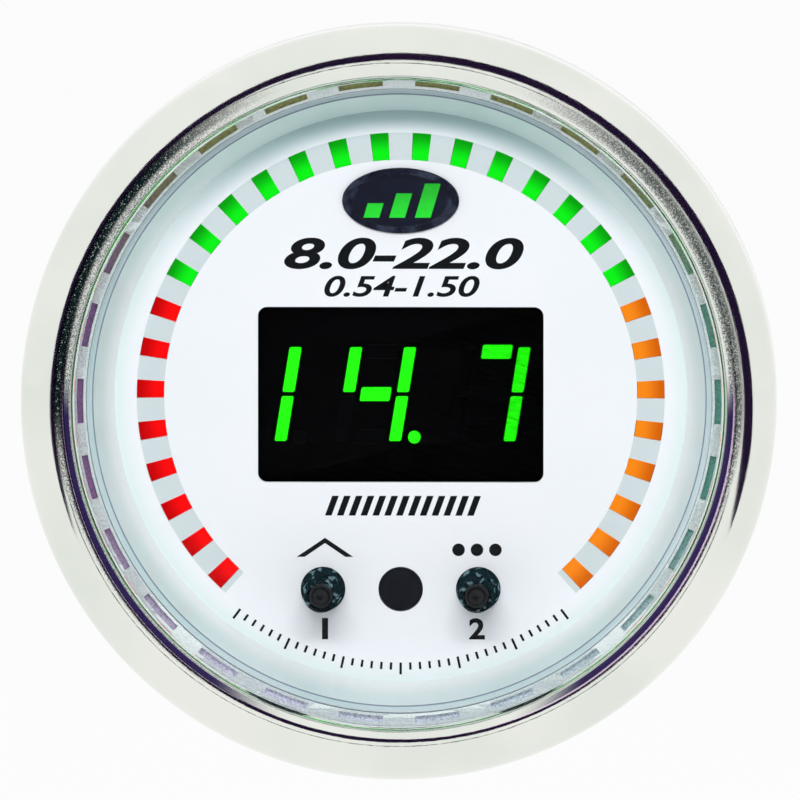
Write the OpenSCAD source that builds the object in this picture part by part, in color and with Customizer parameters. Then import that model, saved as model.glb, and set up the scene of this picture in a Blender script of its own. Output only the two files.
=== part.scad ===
// Air fuel ratio gauge for a round hole in a dashboard or pod.
// The gauge looks along -Y, up is +Z, and the origin is on its axis in the plane of the panel's
// front. Every module below works in the face frame: x right, y up, z out towards the driver.

/* [Case] */
// Outside diameter of the case, which passes through the panel's hole
case_d = 52; // [50:0.5:60]
// Wall of the case tube
case_wall = 1.2; // [0.8:0.1:1.6]
// Depth of the case behind the panel
case_depth = 30; // [27:0.5:45]
// Thickness of the rear wall
rear_wall = 1.6; // [1.2:0.1:2.4]
// Round where the tube meets the rear wall
case_round = 1.5; // [0.5:0.1:3]
// How far the front rim stands out from the tube
rim_w = 1.6; // [1.2:0.1:2.4]
// Thickness of the front rim
rim_t = 0.8; // [0.6:0.1:1.4]
// Depth of the neck behind the rim, where the bezel is rolled in
neck_depth = 0.4; // [0.3:0.05:0.6]

/* [Bezel] */
// Thickness of the bezel's sheet
bezel_sheet = 0.8; // [0.5:0.05:1]
// Room between the rim and the bezel's side
bezel_room = 0.2; // [0.1:0.05:0.4]
// Round from the bezel's side up to its crest
crest_round = 2.7; // [1.8:0.1:3.2]
// Round from the crest in to the lip
lip_round = 1.43; // [1.1:0.01:1.9]
// Height of the crest above the edge of the lip
lip_depth = 2; // [1.9:0.1:3]
// Round on the rear edge of the bezel's side
rear_round = 0.4; // [0.1:0.1:0.7]
// Room between the rolled-in edge and the case tube
roll_room = 0.1; // [0.05:0.05:0.3]

/* [Lens] */
// Thickness of the lens
lens_t = 1.8; // [1.2:0.1:3]
// Thickness of the rubber ring between lens and lip
seal_t = 0.4; // [0.2:0.1:0.8]
// How far the rubber ring stays back from the lip's inner edge
seal_back = 0.15; // [0.05:0.05:0.5]
// Outside diameter of a button guide where it leaves the lens
guide_tip_d = 2.56; // [2.3:0.02:3]

/* [Castellated spacer] */
// Thickness of the spacer under the lens
spacer_t = 1; // [0.8:0.1:1.6]
// Number of castellations round the spacer
castellations = 26; // [18:1:36]
// Share of each step that is open
castellation_share = 0.58; // [0.3:0.02:0.8]
// Radial width of a castellation
castellation_w = 0.48; // [0.3:0.02:0.8]
// Depth of a castellation
castellation_depth = 0.6; // [0.3:0.05:0.75]
// Land between the castellations and the spacer's bore
spacer_land = 0.24; // [0.16:0.02:0.5]

/* [Reflector] */
// Thickness of the reflector's flange
flange_t = 1.2; // [0.8:0.1:2]
// Height of the white cone from the dial to its flange's front
reflector_h = 5.2; // [4:0.1:7]
// Radial thickness of the cone at the front
reflector_front_w = 1.3; // [0.8:0.05:2]
// Radial thickness of the cone at the dial
reflector_foot_w = 2.75; // [2:0.05:3.5]
// Width and depth of the step round the cone's front edge
reflector_step = 0.35; // [0.1:0.05:0.6]
// Room between the case wall and the parts inside it
inner_room = 0.3; // [0.15:0.05:0.6]

/* [Dial] */
// Thickness of the dial plate
dial_t = 0.8; // [0.5:0.1:1.2]
// Space between the reflector's foot and the ring of windows
ring_margin = 1.69; // [1:0.01:3]
// Radial length of a window in the ring
slot_len = 2.09; // [1.5:0.01:2.6]
// Width of a window in the ring
slot_w = 1.34; // [0.9:0.02:1.6]
// Angle that the ring of windows sweeps
ring_sweep = 270; // [240:1:280]
// Number of red windows on the rich side
red_count = 8; // [5:1:9]
// Number of green windows in the middle
green_count = 14; // [10:2:16]
// Number of amber windows on the lean side
amber_count = 8; // [5:1:9]
// Width of the display window
window_w = 21.7; // [20:0.1:23]
// Height of the display window
window_h = 13.35; // [11.5:0.05:15]
// Corner round of the display window
window_round = 0.7; // [0.3:0.05:1.5]
// Height of the display's centre above the gauge's axis
display_y = 0.1; // [-1:0.1:1]
// Width of the oval badge window
badge_w = 8.9; // [7:0.1:10]
// Height of the oval badge window
badge_h = 5; // [4:0.1:6]
// Space between the badge window and the ring of windows
badge_margin = 0.6; // [0.3:0.05:1.2]
// How far the badge window's bevelled rim stands out of the dial
badge_rise = 0.35; // [0.1:0.05:0.6]
// Diameter of the button and light sensor holes
hole_d = 3.4; // [3.1:0.02:3.7]
// Distance between the two buttons
button_spacing = 11.8; // [10.5:0.1:14]
// Distance from the inner edge of the window ring in to the buttons' row
button_margin = 3.27; // [2.9:0.01:4]

/* [Buttons] */
// Diameter of a button's plunger
plunger_d = 1.8; // [1.5:0.05:2]
// Radial running room of a plunger in its guide
plunger_room = 0.08; // [0.04:0.01:0.1]
// How far a button's tip stays below the lens's front
tip_recess = 0.5; // [0.2:0.1:1]
// Diameter of the dish in a button's tip
dish_d = 1.4; // [0.8:0.05:1.45]
// Depth of the dish in a button's tip
dish_depth = 0.35; // [0.1:0.05:0.5]
// Diameter of the collar that keeps a button in
collar_d = 4.2; // [3:0.1:4.6]
// Thickness of that collar
collar_t = 0.6; // [0.4:0.1:0.8]
// Travel of a button
travel = 0.35; // [0.2:0.05:0.4]

/* [Light block] */
// Thickness of the black block behind the dial
block_t = 4.2; // [3.9:0.1:6]
// Thickness of the tinted display filter
filter_t = 0.8; // [0.5:0.1:1.2]
// How far the filter reaches past its window all round
filter_margin = 0.45; // [0.3:0.05:0.8]
// How far the diffusers stay below the dial's front
diffuser_drop = 0.2; // [0:0.05:0.4]

/* [Display digits] */
// Distance from digit to digit, as a share of the window's width
digit_pitch_share = 0.401; // [0.36:0.001:0.41]
// Middle digit's distance left of the window's centre, as a share of its width
digit_shift_share = 0.0895; // [0.07:0.0005:0.095]
// Digits' distance below the window's middle, as a share of its height
digit_drop_share = 0.005; // [0:0.001:0.01]
// Distance between a digit's two columns, as a share of the digits' distance
column_share = 0.4715; // [0.42:0.001:0.51]
// Length of an upright segment, as a share of the window's height
segment_share = 0.2545; // [0.22:0.0005:0.27]
// Width of an upright segment, as a share of the digits' distance
segment_w_share = 0.1045; // [0.08:0.0005:0.12]
// Gap between the upper and lower segments, as a share of the window's height
segment_gap_share = 0.025; // [0.015:0.001:0.045]
// Length of a cross bar, as a share of the columns' distance
bar_share = 0.554; // [0.45:0.001:0.6]
// Height of a cross bar, as a share of the window's height
bar_h_share = 0.078; // [0.06:0.0005:0.083]
// Height of the top bar above the middle one, as a share of the window's height
bar_rise_share = 0.2425; // [0.23:0.0005:0.25]
// Diameter of a decimal point, as a share of the window's height
dot_share = 0.0715; // [0.06:0.0005:0.09]
// Slant of the digits in degrees
slant = 9.2; // [5:0.1:10]

/* [Circuit boards] */
// Thickness of both circuit boards
board_t = 1.6; // [1.2:0.1:2]
// Space between the two boards
board_gap = 9; // [8.6:0.1:10.5]
// Diameter of the board screws
screw_d = 2; // [1.6:0.1:2.3]
// How far the board screws bite into the case's posts, as a share of the posts' height
bite_share = 0.57; // [0.3:0.01:0.8]

/* [Wiring socket] */
// Outside width of the socket's shroud
shroud_w = 18; // [16:0.1:20]
// Outside height of the socket's shroud
shroud_h = 11; // [10:0.1:13]
// Wall of the shroud
shroud_wall = 1.5; // [1.2:0.1:2]
// How far the shroud stands out behind the case
shroud_reach = 12; // [11:0.5:16]
// Depth of the socket
socket_depth = 13; // [11:0.5:13.5]
// Length of the terminals inside the socket
terminal_len = 7.5; // [5:0.5:8]
// Diameter of a terminal
terminal_d = 1.5; // [1:0.1:2]
// Number of terminals across in each of the two rows
terminals_across = 3; // [2:1:4]
// Distance between neighbouring terminals in a row
terminal_pitch = 4.6; // [3.8:0.1:4.8]
// Distance between the two rows
row_pitch = 3.6; // [3:0.1:4.2]
// Space between the bracket's strap and the shroud
shroud_gap = 1.5; // [1:0.1:3]
// Thickness of the rubber gasket under the socket's flange
gasket_t = 0.8; // [0.5:0.1:1.2]

/* [Studs and bracket] */
// Diameter of the mounting studs
stud_d = 4; // [3:0.1:5]
// Distance from the outside of the case in to a stud's axis
stud_margin = 11.5; // [9:0.5:12]
// How far the studs stand out behind the case
stud_reach = 19; // [17:0.5:26]
// Thickness of the nuts that hold the studs
stud_nut_t = 1.6; // [1.2:0.1:2]
// Thickness of the panel that the gauge is drawn clamped to
panel_t = 3; // [1:0.5:4]
// Space between the case's rear wall and the bracket's strap
strap_gap = 4; // [3:0.5:6]
// Width of the bracket strap
strap_w = 8; // [6.5:0.5:9]
// Thickness of the bracket strap
strap_t = 0.9; // [0.7:0.1:1]
// Room between the case and the bracket's legs
leg_room = 0.9; // [0.85:0.05:1.1]
// Outside round of the bracket's bends
bend_round = 2.4; // [1.5:0.1:4]
// Diameter of the knurled thumb nuts
thumb_d = 10; // [8.5:0.5:12]
// Height of the knurled thumb nuts
thumb_h = 6; // [4.5:0.5:7]
// Number of knurls round a thumb nut
knurls = 30; // [20:2:40]
// Depth of the knurls
knurl_depth = 0.35; // [0.2:0.05:0.5]
// Thickness of the lock washers
washer_t = 0.8; // [0.5:0.1:1.2]

/* [Hidden] */
$fn = 72;

// How far a cut runs past the faces that it opens
over = 1;
// Steps in a segment's corner, in an oval, and along a ring window's ends
corner_steps = 4;
oval_steps = 48;
slot_steps = 2;

// Heights in the face frame, out from the panel's front
rim_z = bezel_sheet;
rim_front_z = rim_z + rim_t;
flange_front_z = rim_front_z + flange_t;
lens_rear_z = flange_front_z + spacer_t;
lens_front_z = lens_rear_z + lens_t;
lip_edge_z = lens_front_z + seal_t;
crest_z = lip_edge_z + lip_depth;
dial_z = flange_front_z - reflector_h;
dial_rear_z = dial_z - dial_t;
block_rear_z = dial_rear_z - block_t;
display_board_rear_z = block_rear_z - board_t;
control_board_z = display_board_rear_z - board_gap;
control_board_rear_z = control_board_z - board_t;
case_rear_z = -case_depth;
case_floor_z = case_rear_z + rear_wall;

// Radii about the gauge's axis
castellation_edge = 0.05;
case_r = case_d / 2;
case_in_r = case_r - case_wall;
rim_r = case_r + rim_w;
bezel_in_r = rim_r + bezel_room;
bezel_r = bezel_in_r + bezel_sheet;
crest_r = bezel_r - crest_round;
lip_r = crest_r - lip_round;
roll_r = case_r + roll_room;
inner_r = case_in_r - inner_room;
reflector_front_r = inner_r - reflector_front_w;
reflector_foot_r = inner_r - reflector_foot_w;
castellation_out_r = lip_r - castellation_edge;
castellation_in_r = castellation_out_r - castellation_w;
spacer_in_r = castellation_in_r - spacer_land;
slot_out_r = reflector_foot_r - ring_margin;
slot_in_r = slot_out_r - slot_len;
slot_mid_r = (slot_in_r + slot_out_r) / 2;

// Ring of windows
slot_count = red_count + green_count + amber_count;
slot_pitch = ring_sweep / (slot_count - 1);
slot_fit = 0.04;

// Places on the dial
badge_y = slot_in_r - badge_margin - badge_h / 2;
button_y = -(slot_in_r - button_margin);
button_x = button_spacing / 2;
hole_r = hole_d / 2;
seat_fit = 0.05;
badge_bevel = 0.45;
badge_cell_margin = 0.4;
sensor_ledge = 0.35;
sensor_drop = 0.05;

// Buttons and their switches
guide_fit = 0.07;
guide_base_r = hole_r - guide_fit;
guide_bore_r = plunger_d / 2 + plunger_room;
tip_z = lens_front_z - tip_recess;
switch_w = 3.6;
switch_h = 1.3;
switch_room = 0.25;
switch_pocket_r = switch_w / 2 * sqrt(2) + switch_room;
switch_pocket_h = 2.8;
switch_top_z = block_rear_z + switch_h;
actuator_d = 1.6;
actuator_fit = 0.06;
actuator_rise = 0.5;
actuator_sink = 0.5;
actuator_floor_gap = 0.1;
collar_stop = 0.2;
pocket_top_z = block_rear_z + switch_pocket_h;
collar_z = pocket_top_z - collar_stop;
plunger_end_z = switch_top_z + actuator_rise;

// Display
filter_w = window_w + 2 * filter_margin;
filter_h = window_h + 2 * filter_margin;
filter_round = 0.5;
display_fit = 0.1;
filter_rear_z = dial_rear_z - filter_t;
segment_fit = 0.02;
segment_depth = 0.5;
segment_round = 0.15;
digit_pitch = window_w * digit_pitch_share;
middle_digit_x = -window_w * digit_shift_share;
digit_y = display_y - window_h * digit_drop_share;
digit_columns = digit_pitch * column_share;
segment_len = window_h * segment_share;
segment_w = digit_pitch * segment_w_share;
segment_gap = window_h * segment_gap_share;
bar_len = digit_columns * bar_share;
bar_h = window_h * bar_h_share;
bar_rise = window_h * bar_rise_share;
dot_d = window_h * dot_share;
dot_x_share = 0.339;
dot_x = digit_pitch * dot_x_share;
dot_y_share = 0.2453;
dot_y = -window_h * dot_y_share;
// Segment letters run clockwise from a at the top, with g across the middle and p for the point
lit_letters = ["bc", "bcfgp", "abc"];
unlit_letters = ["p", "ade", "defgp"];

// Light emitting diodes and light sensor
led_w = 0.8;
led_len = 1.6;
led_h = 0.7;
led_gap = 0.3;
badge_led_x = 1.7;
light_sensor_room = 0.22;
light_sensor_r = hole_r - sensor_ledge - light_sensor_room;
light_sensor_h = 2.4;

// Boards
board_room = 0.5;
board_r = case_in_r - board_room;
post_r = 2.5;
post_wall_sink = 0.1;
post_circle_r = case_in_r + post_wall_sink - post_r;
post_count = 4;
post_angle = 45;
screw_r = screw_d / 2;
screw_room = 0.1;
screw_fit = 0.05;
screw_bite = (control_board_rear_z - case_floor_z) * bite_share;
screw_head_lap = 0.5;
screw_head_r = screw_r + screw_head_lap;
screw_head_h = 1.2;
screw_head_room = 0.25;
screw_slot_w = 0.5;
screw_tip_room = 0.5;
spacer_wall = 0.9;
spacer_tube_r = screw_r + screw_room + spacer_wall;
header_w = 20.3;
header_d = 5;
header_y_share = 0.41;
header_y = board_r * header_y_share;
header_socket_share = 0.667;
header_socket_h = board_gap * header_socket_share;
header_strip_share = 0.278;
header_strip_h = board_gap * header_strip_share;
header_pins = 8;
header_pitch = 2.54;
header_pin_w = 0.64;
chip_w = 10;
chip_h = 1.2;
chip_place_shares = [-0.35, -0.06];
chip_place = board_r * chip_place_shares;
chip_lift = 0.1;
lead_w = 0.4;
lead_t = 0.2;
lead_reach = 1;
chip_leads = 8;
driver_size = [10.3, 7.5, 2.3];
driver_place_shares = [0, -0.08];
driver_place = board_r * driver_place_shares;
driver_leads = 7;
regulator_size = [10.2, 8.7, 4.5];
regulator_place_shares = [0.39, -0.1];
regulator_place = board_r * regulator_place_shares;
regulator_tab = [10.2, 1.6, 1.3];
regulator_leads = 3;
regulator_lead_w = 0.9;
regulator_lead_pitch = 2.54;
regulator_lead_reach = 2.6;
capacitor_share = 0.13;
capacitor_r = board_r * capacitor_share;
capacitor_headroom = 1.3;
capacitor_h = board_gap - capacitor_headroom;
capacitor_base_h = 0.8;
capacitor_place_shares = [0.4, -0.57];
capacitor_place = board_r * capacitor_place_shares;
capacitor_groove = 0.3;

// Wiring socket
socket_y = -(strap_w / 2 + shroud_gap + shroud_h / 2);
shroud_round = 2;
shroud_fit = 0.15;
shroud_end_z = case_rear_z - shroud_reach;
socket_floor_z = shroud_end_z + socket_depth;
flange_lap = 1;
socket_flange_t = 1.4;
gasket_top_z = case_floor_z + gasket_t;
socket_flange_z = gasket_top_z + socket_flange_t;
socket_base_inset = 1.6;
terminal_r = terminal_d / 2;
terminal_fit = 0.05;
tail_r = 0.45;
tail_out = 0.8;
terminal_end_z = socket_floor_z - terminal_len;
terminal_point = 0.5;
latch_w = 5;
latch_h = 1;
latch_len = 4;
latch_back = 2;

// Studs, nuts and bracket
stud_r = stud_d / 2;
stud_x = case_r - stud_margin;
stud_head_lap = 1.6;
stud_head_r = stud_r + stud_head_lap;
stud_head_t = 1.2;
stud_hole_fit = 0.1;
stud_end_z = case_rear_z - stud_reach;
stud_point = 0.5;
nut_fit = 0.05;
stud_nut_lap = 1.5;
nut_sides = 6;
stud_nut_af = stud_d + 2 * stud_nut_lap;
foot_z = -panel_t;
strap_front_z = case_rear_z - strap_gap;
strap_rear_z = strap_front_z - strap_t;
leg_in_r = case_r + leg_room;
leg_out_r = leg_in_r + strap_t;
stud_slide_fit = 0.3;
washer_rear_z = strap_rear_z - washer_t;
washer_lap = 1.6;
washer_r = stud_r + washer_lap;
washer_split = 0.5;
thumb_r = thumb_d / 2;
thumb_rear_z = washer_rear_z - thumb_h;
thumb_collar_t = 1.2;
thumb_collar_lap = 1.8;
thumb_collar_r = stud_r + thumb_collar_lap;
thumb_chamfer = 0.5;

function arc(centre, r, from, to, steps) =
    [for (i = [0:steps]) let (a = from + (to - from) * i / steps) centre + r * [cos(a), sin(a)]];

function rounded(w, h, r) = concat(
    arc([w / 2 - r, h / 2 - r], r, 0, 90, corner_steps),
    arc([r - w / 2, h / 2 - r], r, 90, 180, corner_steps),
    arc([r - w / 2, r - h / 2], r, 180, 270, corner_steps),
    arc([w / 2 - r, r - h / 2], r, 270, 360, corner_steps)
);

function oval(w, h) =
    [for (i = [0:oval_steps - 1]) let (a = 360 * i / oval_steps) [w / 2 * cos(a), h / 2 * sin(a)]];

// A piece of a ring, centred on the top of the dial
function sector(r_in, r_out, half) = concat(
    arc([0, 0], r_out, 90 - half, 90 + half, slot_steps),
    arc([0, 0], r_in, 90 + half, 90 - half, slot_steps)
);

function slot_half(w) = w / 2 / slot_mid_r * 180 / PI;
function slot_shape(grow) =
    sector(slot_in_r - grow, slot_out_r + grow, slot_half(slot_w + 2 * grow));

// Inside radius of the bezel at a height
function bezel_inside(z) =
    let (up = max(z - (crest_z - crest_round), 0), r = crest_round - bezel_sheet)
    crest_r + sqrt(r * r - up * up);

function slanted(points) = [for (p = points) [p[0] + p[1] * tan(slant), p[1]]];

module facing() {
    rotate([90, 0, 0]) children();
}

module layer(low, high) {
    translate([0, 0, low]) linear_extrude(high - low) children();
}

module rod(r, low, high) {
    translate([0, 0, low]) cylinder(r = r, h = high - low);
}

module tube(r_out, r_in, low, high) {
    difference() {
        rod(r_out, low, high);
        rod(r_in, low - over, high + over);
    }
}

// Cylinder with its rear edge rounded
module round_backed(r, round, low, high) {
    rotate_extrude() {
        translate([0, low]) square([r - round, high - low]);
        translate([0, low + round]) square([r, high - low - round]);
        translate([r - round, low + round]) circle(round);
    }
}

// A quarter of a ring of sheet, turned from the one that faces right and up
module quarter(r, sheet, turn) {
    rotate(turn)
        intersection() {
            difference() {
                circle(r);
                circle(r - sheet);
            }
            square(r + over);
        }
}

module rounded_plate(w, h, round, low, high) {
    layer(low, high) {
        square([w - 2 * round, h], center = true);
        square([w, h - 2 * round], center = true);
        for (x = [-1, 1], y = [-1, 1])
            translate([x * (w / 2 - round), y * (h / 2 - round)]) circle(round);
    }
}

module plate(w, h, low, high) {
    layer(low, high) square([w, h], center = true);
}

module slots(first, count, grow, low, high) {
    for (i = [first:first + count - 1])
        rotate(ring_sweep / 2 - i * slot_pitch)
            layer(low, high) polygon(slot_shape(grow));
}

module at_button(side) {
    translate([side * button_x, button_y, 0]) children();
}

module at_buttons() {
    for (side = [-1, 1])
        at_button(side) children();
}

module at_posts() {
    for (i = [0:post_count - 1])
        rotate(post_angle + i * 360 / post_count)
            translate([post_circle_r, 0, 0]) children();
}

module at_studs() {
    for (side = [-1, 1])
        translate([side * stud_x, 0, 0]) children();
}

module at_terminals() {
    for (row = [-1, 1])
        for (i = [0:terminals_across - 1])
            translate([
                (i - (terminals_across - 1) / 2) * terminal_pitch,
                socket_y + row * row_pitch / 2,
                0
            ]) children();
}

// Bezel: one rolled sheet ring with a bullnose front, a lip on the lens and an edge rolled in
// behind the case's rim
module bezel() {
    side_z = crest_z - crest_round;
    lip_z = crest_z - lip_round;
    color("gainsboro") facing() {
        difference() {
            round_backed(bezel_r, rear_round, 0, side_z);
            rod(bezel_in_r, rim_z, side_z + over);
            rod(roll_r, -over, rim_z + over);
        }
        rotate_extrude() {
            translate([crest_r, side_z]) quarter(crest_round, bezel_sheet, 0);
            translate([crest_r, lip_z]) quarter(lip_round, bezel_sheet, 90);
            translate([lip_r, lip_edge_z]) square([bezel_sheet, lip_z - lip_edge_z]);
        }
    }
}

module lens_seal() {
    color("dimgray") facing()
        tube(bezel_inside(lip_edge_z) - bezel_room, lip_r + seal_back, lens_front_z, lip_edge_z);
}

// Lens with a tapered guide for each button, down through the dial
module button_guide() {
    translate([0, 0, dial_z])
        cylinder(r1 = guide_base_r, r2 = guide_tip_d / 2, h = lens_rear_z - dial_z);
    rod(guide_base_r, dial_rear_z, dial_z);
}

module lens() {
    color([0.85, 0.92, 0.95, 0.3]) facing()
        difference() {
            union() {
                rod(bezel_inside(lens_front_z) - bezel_room, lens_rear_z, lens_front_z);
                at_buttons() button_guide();
            }
            at_buttons() rod(guide_bore_r, dial_rear_z - over, lens_front_z + over);
        }
}

module lens_spacer() {
    step = 360 / castellations;
    half = step * castellation_share / 2;
    color("lightgray") facing()
        difference() {
            tube(rim_r, spacer_in_r, flange_front_z, lens_rear_z);
            for (i = [0:castellations - 1])
                rotate((i + 0.5) * step)
                    layer(lens_rear_z - castellation_depth, lens_rear_z + over)
                        polygon(sector(castellation_in_r, castellation_out_r, half));
        }
}

module reflector_ring() {
    outline = [
        [reflector_foot_r, dial_z],
        [inner_r, dial_z],
        [inner_r, rim_front_z],
        [rim_r, rim_front_z],
        [rim_r, flange_front_z],
        [reflector_front_r + reflector_step, flange_front_z],
        [reflector_front_r + reflector_step, flange_front_z - reflector_step],
        [reflector_front_r, flange_front_z - reflector_step]
    ];
    color("white") facing() rotate_extrude() polygon(outline);
}

module dial() {
    low = dial_rear_z - over;
    high = dial_z + over;
    color("white") facing()
        difference() {
            rod(inner_r, dial_rear_z, dial_z);
            slots(0, slot_count, 0, low, high);
            translate([0, display_y, 0])
                rounded_plate(window_w, window_h, window_round, low, high);
            translate([0, badge_y, 0]) layer(low, high) polygon(oval(badge_w, badge_h));
            at_buttons() rod(hole_r, low, high);
            translate([0, button_y, 0]) rod(hole_r, low, high);
        }
}

// Oval badge window: a raised rim round a sunk face
module badge_window() {
    w = badge_w - 2 * seat_fit;
    h = badge_h - 2 * seat_fit;
    color("midnightblue") facing() translate([0, badge_y, 0])
        difference() {
            layer(dial_rear_z, dial_z + badge_rise) polygon(oval(w, h));
            layer(dial_z, dial_z + over)
                polygon(oval(w - 2 * badge_bevel, h - 2 * badge_bevel));
        }
}

module sensor_window() {
    color("black") facing() translate([0, button_y, 0])
        rod(hole_r - seat_fit, dial_rear_z, dial_z - sensor_drop);
}

module display_filter() {
    color([0.05, 0.05, 0.06, 0.8]) facing() translate([0, display_y, 0])
        rounded_plate(filter_w, filter_h, filter_round, filter_rear_z, dial_rear_z);
}

// Light block: a black moulding with one light cell for each diode, a well for the display, an
// oval cell for the badge, stepped pockets for the switches and room for the screw heads
module light_block() {
    low = block_rear_z - over;
    high = dial_rear_z + over;
    color([0.08, 0.08, 0.09]) facing()
        difference() {
            rod(inner_r, block_rear_z, dial_rear_z);
            slots(0, slot_count, 0, low, high);
            translate([0, display_y, 0])
                plate(filter_w + 2 * display_fit, filter_h + 2 * display_fit, low, high);
            translate([0, badge_y, 0])
                layer(low, high)
                    polygon(oval(badge_w - 2 * badge_cell_margin, badge_h - 2 * badge_cell_margin));
            at_buttons() rod(guide_bore_r, low, high);
            at_buttons() rod(switch_pocket_r, low, pocket_top_z);
            translate([0, button_y, 0]) rod(hole_r - sensor_ledge, low, high);
            at_posts() rod(screw_head_r + screw_head_room, low, block_rear_z + screw_head_h
                + screw_head_room);
        }
}

module diffusers(first, count) {
    slots(first, count, -slot_fit, block_rear_z + led_h + led_gap, dial_z - diffuser_drop);
}

module green_diffusers() {
    color("lime") facing() diffusers(red_count, green_count);
}

module red_diffusers() {
    color("red") facing() diffusers(0, red_count);
}

module amber_diffusers() {
    color("darkorange") facing() diffusers(red_count + green_count, amber_count);
}

// One segment of a digit by its letter, about the digit's centre
module segment(letter, grow) {
    rise = (segment_len + segment_gap) / 2;
    upright = letter == "b" || letter == "c" || letter == "e" || letter == "f";
    right = letter == "b" || letter == "c";
    upper = letter == "b" || letter == "f";
    x = (right ? 1 : -1) * digit_columns / 2;
    bar_y = letter == "a" ? bar_rise : letter == "d" ? -bar_rise : 0;
    if (letter == "p") {
        translate([dot_x, dot_y]) circle(d = dot_d + 2 * grow);
    } else if (upright) {
        polygon(slanted([for (p = rounded(segment_w + 2 * grow, segment_len + 2 * grow, segment_round))
            p + [x, (upper ? 1 : -1) * rise]]));
    } else {
        polygon(slanted([for (p = rounded(bar_len + 2 * grow, bar_h + 2 * grow, segment_round))
            p + [0, bar_y]]));
    }
}

module segments(letters, grow, low, high) {
    for (digit = [0:len(letters) - 1])
        for (letter = letters[digit])
            translate([middle_digit_x + (digit - 1) * digit_pitch, digit_y, 0])
                layer(low, high) segment(letter, grow);
}

module display_module() {
    low = filter_rear_z - segment_depth;
    color([0.03, 0.03, 0.03]) facing()
        difference() {
            translate([0, display_y, 0])
                plate(filter_w - 2 * display_fit, filter_h - 2 * display_fit, block_rear_z,
                    filter_rear_z);
            segments(lit_letters, segment_fit, low, filter_rear_z + over);
            segments(unlit_letters, segment_fit, low, filter_rear_z + over);
        }
}

module lit_segments() {
    color("lime") facing()
        segments(lit_letters, 0, filter_rear_z - segment_depth, filter_rear_z);
}

module unlit_segments() {
    color([0.1, 0.12, 0.1]) facing()
        segments(unlit_letters, 0, filter_rear_z - segment_depth, filter_rear_z);
}

module ring_leds() {
    color("ivory") facing()
        for (i = [0:slot_count - 1])
            rotate(ring_sweep / 2 - i * slot_pitch)
                translate([0, slot_mid_r, 0])
                    plate(led_w, led_len, block_rear_z, block_rear_z + led_h);
}

module badge_leds() {
    color("ivory") facing()
        for (side = [-1, 1])
            translate([side * badge_led_x, badge_y, 0])
                plate(led_len, led_w, block_rear_z, block_rear_z + led_h);
}

module light_sensor() {
    color("saddlebrown") facing() translate([0, button_y, 0])
        rod(light_sensor_r, block_rear_z, block_rear_z + light_sensor_h);
}

// Button: a plunger with a dished tip, a collar that keeps it in and a stem on its switch
module button() {
    half = dish_d / 2;
    dish_r = (half * half + dish_depth * dish_depth) / (2 * dish_depth);
    color([0.1, 0.11, 0.12])
        difference() {
            union() {
                rod(plunger_d / 2, collar_z - collar_t, tip_z);
                rod(collar_d / 2, collar_z - collar_t, collar_z);
                rod(actuator_d / 2, plunger_end_z, collar_z);
            }
            translate([0, 0, tip_z - dish_depth + dish_r]) sphere(dish_r);
        }
}

module actuator() {
    color("dimgray") rod(actuator_d / 2, switch_top_z - actuator_sink, plunger_end_z);
}

module button_a() {
    facing() at_button(-1) button();
}

module button_b() {
    facing() at_button(1) button();
}

module actuator_a() {
    facing() at_button(-1) actuator();
}

module actuator_b() {
    facing() at_button(1) actuator();
}

module tact_switches() {
    floor_z = switch_top_z - actuator_sink - travel - actuator_floor_gap;
    color("silver") facing() at_buttons()
        difference() {
            plate(switch_w, switch_w, block_rear_z, switch_top_z);
            rod(actuator_d / 2 + actuator_fit, floor_z, switch_top_z + over);
        }
}

module board(low, high) {
    difference() {
        rod(board_r, low, high);
        at_posts() rod(screw_r + screw_room, low - over, high + over);
    }
}

module display_board() {
    color("darkgreen") facing() board(display_board_rear_z, block_rear_z);
}

module control_board() {
    color("darkgreen") facing()
        difference() {
            board(control_board_rear_z, control_board_z);
            at_terminals()
                rod(tail_r + terminal_fit, control_board_rear_z - over, control_board_z + over);
        }
}

// A flat chip with leads on the sides named by turns, standing on z = 0
module chip(size, turns, leads) {
    layer(chip_lift, chip_lift + size[2]) square([size[0], size[1]], center = true);
    for (turn = turns)
        rotate(turn) {
            across = turn % 180 == 0 ? size[1] : size[0];
            depth = turn % 180 == 0 ? size[0] : size[1];
            for (i = [0:leads - 1])
                translate([
                    depth / 2,
                    (i - (leads - 1) / 2) * across / leads - lead_w / 2,
                    0
                ]) {
                    cube([lead_reach, lead_w, lead_t]);
                    cube([lead_t, lead_w, chip_lift + size[2] / 2]);
                }
        }
}

module controller_chip() {
    color([0.12, 0.12, 0.12]) facing()
        translate([chip_place[0], chip_place[1], control_board_z])
            chip([chip_w, chip_w, chip_h], [0, 90, 180, 270], chip_leads);
}

module display_driver() {
    color([0.12, 0.12, 0.12]) facing()
        translate([driver_place[0], driver_place[1], display_board_rear_z]) mirror([0, 0, 1])
            chip(driver_size, [90, 270], driver_leads);
}

module regulator() {
    lead_z = regulator_size[2] / 2;
    color([0.12, 0.12, 0.12]) facing()
        translate([regulator_place[0], regulator_place[1], control_board_z]) {
            layer(0, regulator_size[2])
                square([regulator_size[0], regulator_size[1]], center = true);
            translate([-regulator_tab[0] / 2, -regulator_size[1] / 2 - regulator_tab[1], 0])
                cube(regulator_tab);
            for (i = [0:regulator_leads - 1])
                translate([
                    (i - (regulator_leads - 1) / 2) * regulator_lead_pitch - regulator_lead_w / 2,
                    regulator_size[1] / 2,
                    0
                ]) {
                    cube([regulator_lead_w, regulator_lead_reach, lead_w]);
                    cube([regulator_lead_w, lead_w, lead_z]);
                }
        }
}

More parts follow.
